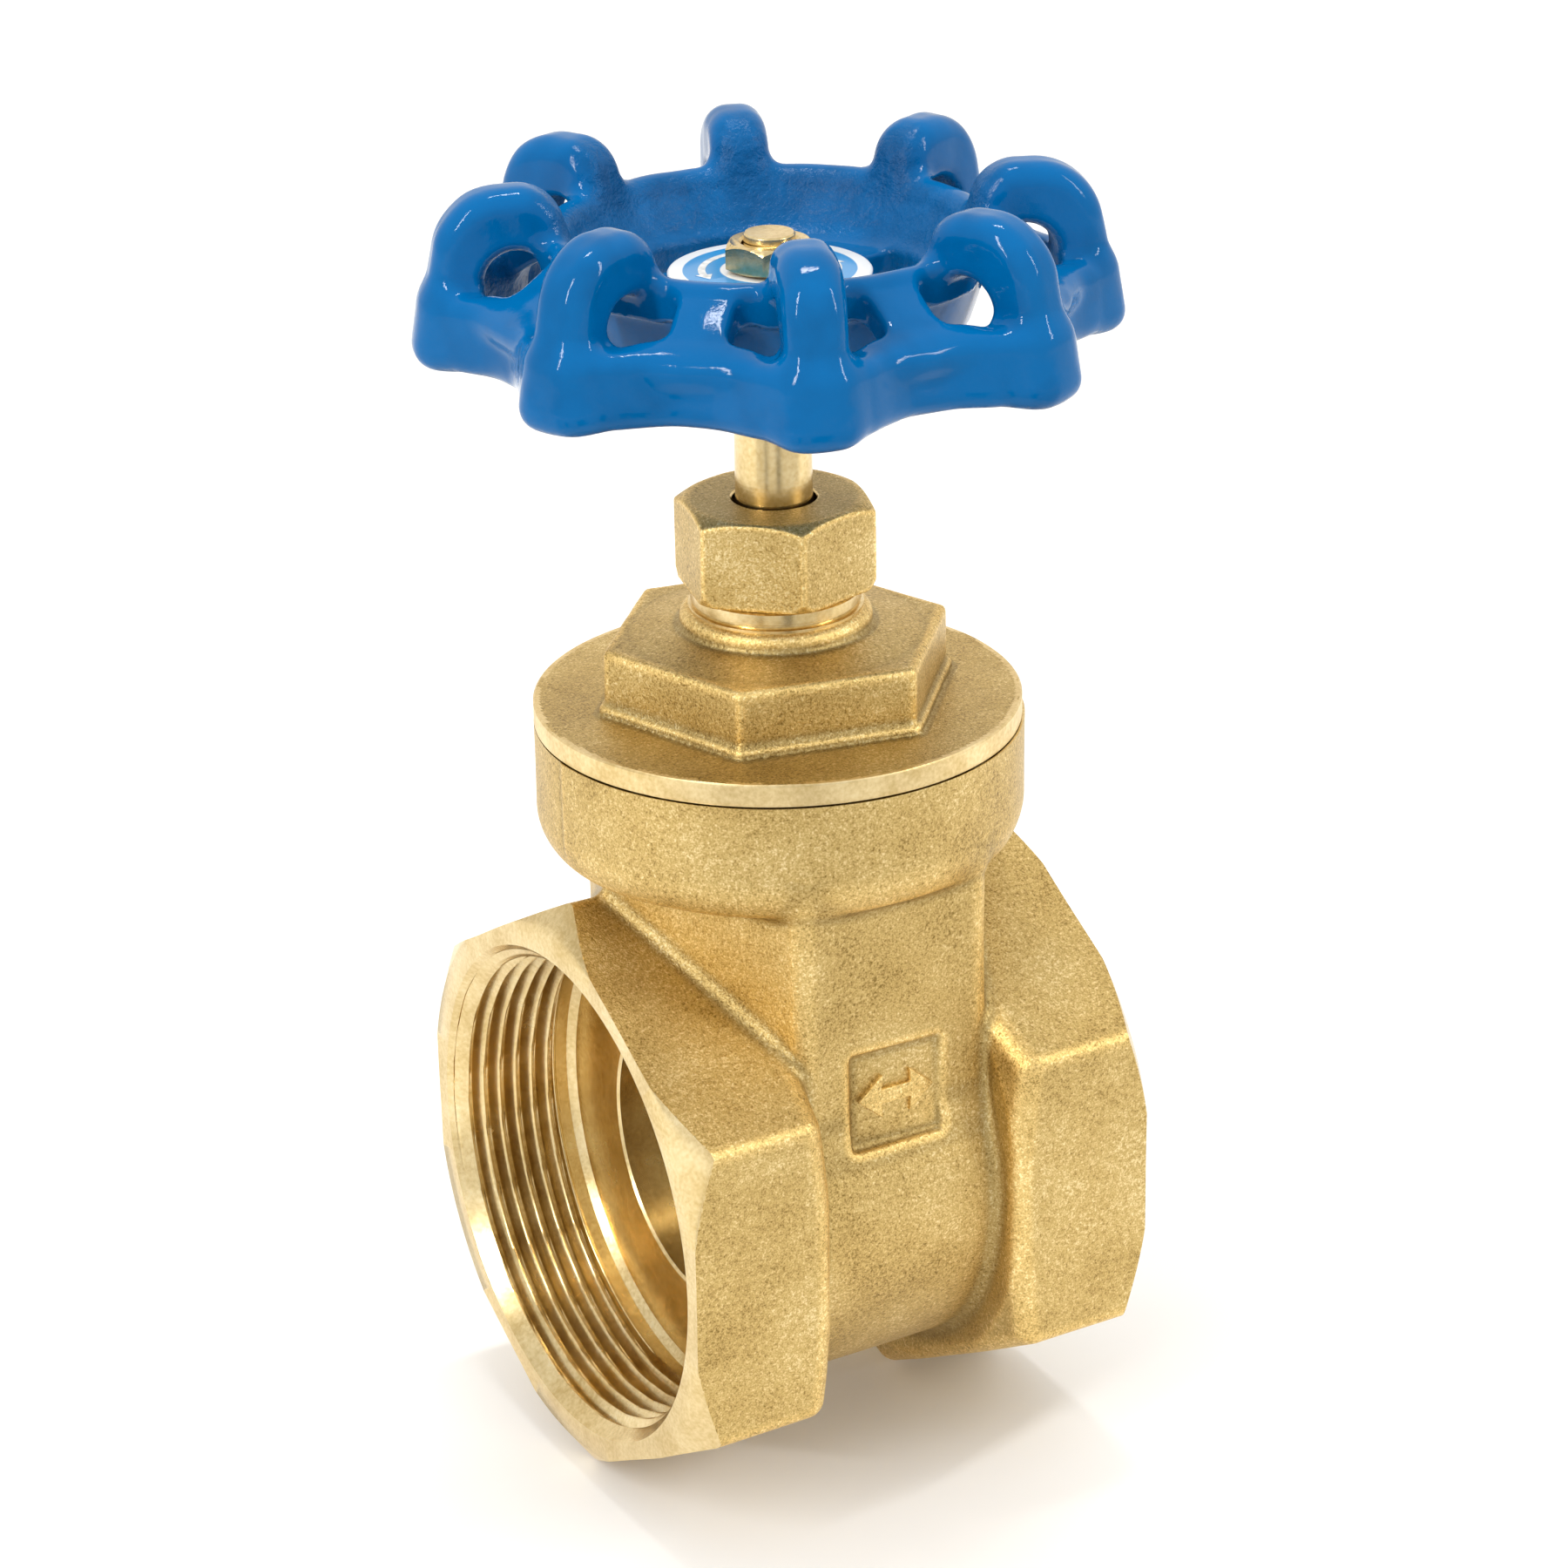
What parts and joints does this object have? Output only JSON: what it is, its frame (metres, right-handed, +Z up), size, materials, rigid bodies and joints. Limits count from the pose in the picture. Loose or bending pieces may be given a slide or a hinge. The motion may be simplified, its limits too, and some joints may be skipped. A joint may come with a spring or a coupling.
{
  "type": "gate valve",
  "caption": "Brass gate valve with female threaded hexagon ends, screwed-in hexagon bonnet, gland nut, non-rising stem and lobed blue handwheel.",
  "frame": {"origin": "where the pipe axis crosses the stem axis, in the middle of the gate", "axes": "+X along the pipe axis, +Z up the stem towards the handwheel"},
  "size_m": [0.0752, 0.0752, 0.1589],
  "materials": {
    "cast_brass": "sandblasted",
    "turned_brass": "machined",
    "blue_enamel": "gloss",
    "graphite_packing": "matte",
    "gasket_fibre": "matte",
    "printed_plate": "printed"
  },
  "bodies": {
    "housing": {"valve_body": "cast_brass", "bonnet": "cast_brass", "bonnet_gasket": "gasket_fibre", "stem_lock_ring": "turned_brass", "stem_thrust_washer": "turned_brass", "packing_base_washer": "turned_brass", "packing_ring_lower": "graphite_packing", "packing_ring_middle": "graphite_packing", "packing_ring_upper": "graphite_packing"},
    "spindle": {"stem": "turned_brass", "handwheel": "blue_enamel", "wheel_plate": "printed_plate", "wheel_nut": "turned_brass"},
    "gate": {"gate_wedge": "cast_brass"},
    "gland": {"packing_gland": "turned_brass"},
    "gland_fastener": {"gland_nut": "cast_brass"}
  },
  "joints": [
    {"name": "stem_spin", "type": "hinge", "parent": "housing", "child": "spindle", "pos_m": [0, 0, 0.09], "axis": [0, 0, 1], "range_deg": [0, 4500]},
    {"name": "gate_lift", "type": "slide", "parent": "housing", "child": "gate", "axis": [0, 0, 1], "range_m": [0, 0.0375]},
    {"name": "gland_rise", "type": "slide", "parent": "housing", "child": "gland", "axis": [0, 0, 1], "range_m": [0, 0.003]},
    {"name": "gland_nut_spin", "type": "hinge", "parent": "gland", "child": "gland_fastener", "pos_m": [0, 0, 0.077], "axis": [0, 0, 1], "range_deg": [0, 720]}
  ],
  "couplings": [
    {"joint": "gate_lift", "follows": "stem_spin", "m_per_rad": 0.00047746},
    {"joint": "gland_nut_spin", "follows": "gland_rise", "rad_per_m": 4188.8}
  ]
}
